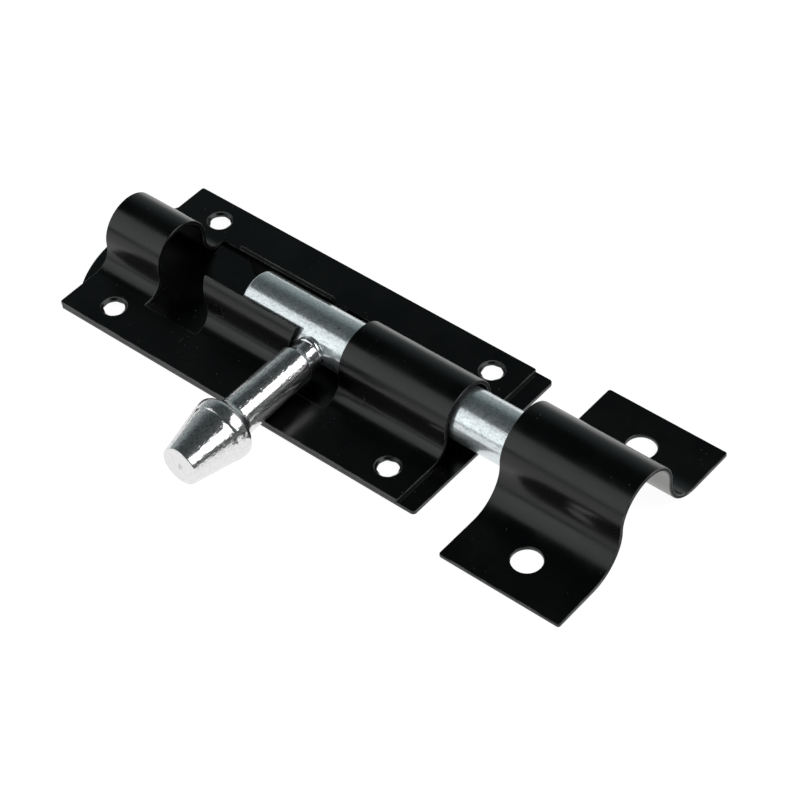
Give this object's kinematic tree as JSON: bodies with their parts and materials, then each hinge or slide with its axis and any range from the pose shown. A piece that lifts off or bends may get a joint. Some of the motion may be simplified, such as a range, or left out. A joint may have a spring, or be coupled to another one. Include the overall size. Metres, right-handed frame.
{
  "type": "door bolt",
  "caption": "Flat door bolt: a plain round bar slides in a pressed guide plate, turned and moved by a side handle with a rounded knob, and enters a separate pressed keep.",
  "frame": {"origin": "on the mounting face, below the rod's axis, at the left end of the guide plate", "axes": "+X along the rod in its closing direction, towards the keep; +Y across the bolt, away from the lowered handle; +Z out of the door, away from the mounting face"},
  "size_m": [0.1904, 0.0988, 0.0243],
  "materials": {
    "black_paint": "semi-gloss black paint on pressed steel sheet",
    "rod_zinc": "bright zinc plate, slightly streaky",
    "handle_zinc": "bright zinc plate on turned steel"
  },
  "bodies": {
    "plates": {"front_plate": "black_paint", "back_plate": "black_paint", "keep": "black_paint"},
    "bolt": {"bolt_rod": "rod_zinc"},
    "lever": {"handle": "handle_zinc"}
  },
  "joints": [
    {"name": "bolt_slide", "type": "slide", "parent": "plates", "child": "bolt", "axis": [1, 0, 0], "range_m": [0, 0.0072]},
    {"name": "handle_turn", "type": "hinge", "parent": "bolt", "child": "lever", "pos_m": [0.0758, 0, 0.01], "axis": [-1, 0, 0], "range_deg": [0, 181.1]}
  ]
}
